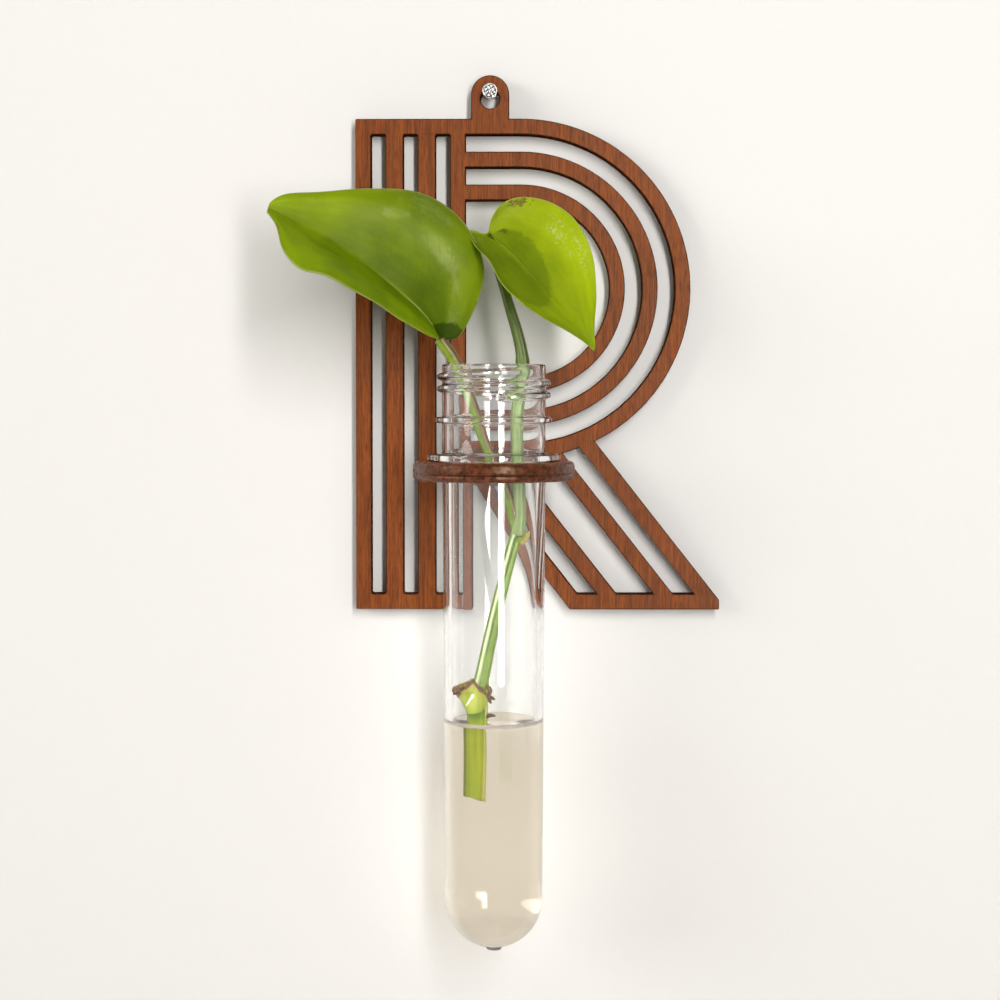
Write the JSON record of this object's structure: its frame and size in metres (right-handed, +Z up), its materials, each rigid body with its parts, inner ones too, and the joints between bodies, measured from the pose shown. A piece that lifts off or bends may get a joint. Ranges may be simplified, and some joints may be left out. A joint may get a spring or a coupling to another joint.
{
  "type": "wall-mounted hydroponic planter",
  "caption": "Fretted plywood letter on a wall nail, with a ring that holds a clear round-bottomed water tube and a leafy vine cutting.",
  "frame": {"origin": "on the nail's axis, in the plane of the wall and of the letter's back face", "axes": "+X to the right as the viewer sees the letter, +Y into the wall along the nail, +Z up; the object stands out from the wall toward -Y"},
  "size_m": [0.1093, 0.068, 0.2139],
  "materials": {
    "nail_steel": "bright, with a chequered head",
    "stained_plywood": "red-brown stain, satin, with dark burnt edges",
    "clear_plastic": "clear moulded, glossy",
    "water": "clear, with a faint beige-green tint",
    "green_stem": "smooth, slightly waxy",
    "leaf_green": "waxy leaf, satin",
    "young_leaf_green": "young waxy leaf, satin",
    "root_brown": "dry"
  },
  "bodies": {
    "nail": {"wall_nail": "nail_steel"},
    "hanger": {"letter_plate": "stained_plywood", "tube_ring": "stained_plywood"},
    "tube": {"water_tube": "clear_plastic"},
    "water_charge": {"water": "water"},
    "cutting": {"old_stem": "green_stem", "stem_joint": "green_stem", "young_stem": "green_stem", "left_stalk": "green_stem", "right_stalk": "green_stem", "left_leaf": "leaf_green", "right_leaf": "young_leaf_green", "young_roots": "root_brown"}
  },
  "joints": [
    {"name": "letter_swing", "type": "hinge", "parent": "nail", "child": "hanger", "pos_m": [0, 0, 0], "axis": [0, 1, 0], "range_deg": [-25, 25]},
    {"name": "tube_lift", "type": "slide", "parent": "hanger", "child": "tube", "axis": [0, 0, 1], "range_m": [0, 0.12]},
    {"name": "cutting_turn", "type": "hinge", "parent": "tube", "child": "water_charge", "pos_m": [0.00127, -0.0256, -0.06803], "axis": [0, 0, 1], "range_deg": [-25, 30]},
    {"name": "cutting_lift", "type": "slide", "parent": "water_charge", "child": "cutting", "axis": [0, 0, 1], "range_m": [0, 0.108]}
  ]
}
